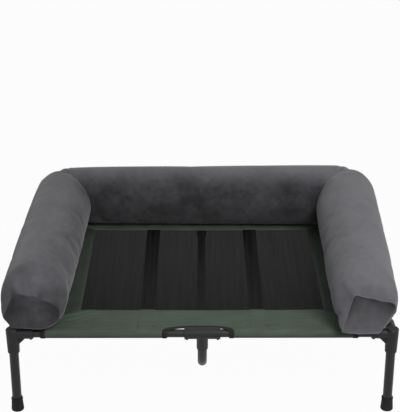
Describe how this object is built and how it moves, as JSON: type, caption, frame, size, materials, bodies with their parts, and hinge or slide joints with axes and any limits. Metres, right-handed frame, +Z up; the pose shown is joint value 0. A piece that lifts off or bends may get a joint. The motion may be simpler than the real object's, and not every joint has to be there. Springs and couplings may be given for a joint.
{
  "type": "raised dog cot",
  "caption": "Raised dog cot: tube frame on rubber feet with push-fit corner sockets, a stretched cloth sling with a mesh centre, and a lift-off U-shaped stuffed bolster.",
  "frame": {"origin": "on the floor, under the middle of the cot", "axes": "+X to the right along the long rails, +Y to the bolster's back, +Z up"},
  "size_m": [0.93, 0.7319, 0.3712],
  "materials": {
    "connector_plastic": "satin",
    "frame_tube": "satin",
    "foot_rubber": "matte",
    "screw_steel": "satin",
    "sling_mesh": "matte",
    "sling_cloth": "matte",
    "binding_tape": "matte",
    "strap_webbing": "matte",
    "hook_and_loop": "matte",
    "bolster_velvet": "matte",
    "bolster_fibre": "matte"
  },
  "bodies": {
    "cot": {"corner_front_left": "connector_plastic", "leg_front_left": "frame_tube", "foot_front_left": "foot_rubber", "binding_front_left": "binding_tape", "corner_front_right": "connector_plastic", "leg_front_right": "frame_tube", "foot_front_right": "foot_rubber", "binding_front_right": "binding_tape", "corner_back_left": "connector_plastic", "leg_back_left": "frame_tube", "foot_back_left": "foot_rubber", "binding_back_left": "binding_tape", "corner_back_right": "connector_plastic", "leg_back_right": "frame_tube", "foot_back_right": "foot_rubber", "binding_back_right": "binding_tape", "front_rail_left": "frame_tube", "front_rail_right": "frame_tube", "back_rail_left": "frame_tube", "back_rail_right": "frame_tube", "side_rail_left": "frame_tube", "side_rail_right": "frame_tube", "centre_support_bar": "frame_tube", "front_tee": "connector_plastic", "back_tee": "connector_plastic", "corner_screws": "screw_steel", "tee_screws": "screw_steel", "mesh_panel": "sling_mesh", "front_border": "sling_cloth", "back_border": "sling_cloth", "left_border": "sling_cloth", "right_border": "sling_cloth", "front_arch_binding": "binding_tape", "back_arch_binding": "binding_tape", "strap_left": "strap_webbing", "strap_right": "strap_webbing", "loop_patch_left": "hook_and_loop", "loop_patch_right": "hook_and_loop"},
    "bolster": {"hook_patch_left": "hook_and_loop", "hook_patch_right": "hook_and_loop", "bolster_cover_left": "bolster_velvet", "bolster_cover_back": "bolster_velvet", "bolster_cover_right": "bolster_velvet", "bolster_end_left": "bolster_velvet", "bolster_end_right": "bolster_velvet", "bolster_core_left": "bolster_fibre", "bolster_core_back": "bolster_fibre", "bolster_core_right": "bolster_fibre"}
  },
  "joints": [
    {"name": "bolster_lift", "type": "slide", "parent": "cot", "child": "bolster", "axis": [0, 0, 1], "range_m": [0, 0.25]}
  ]
}
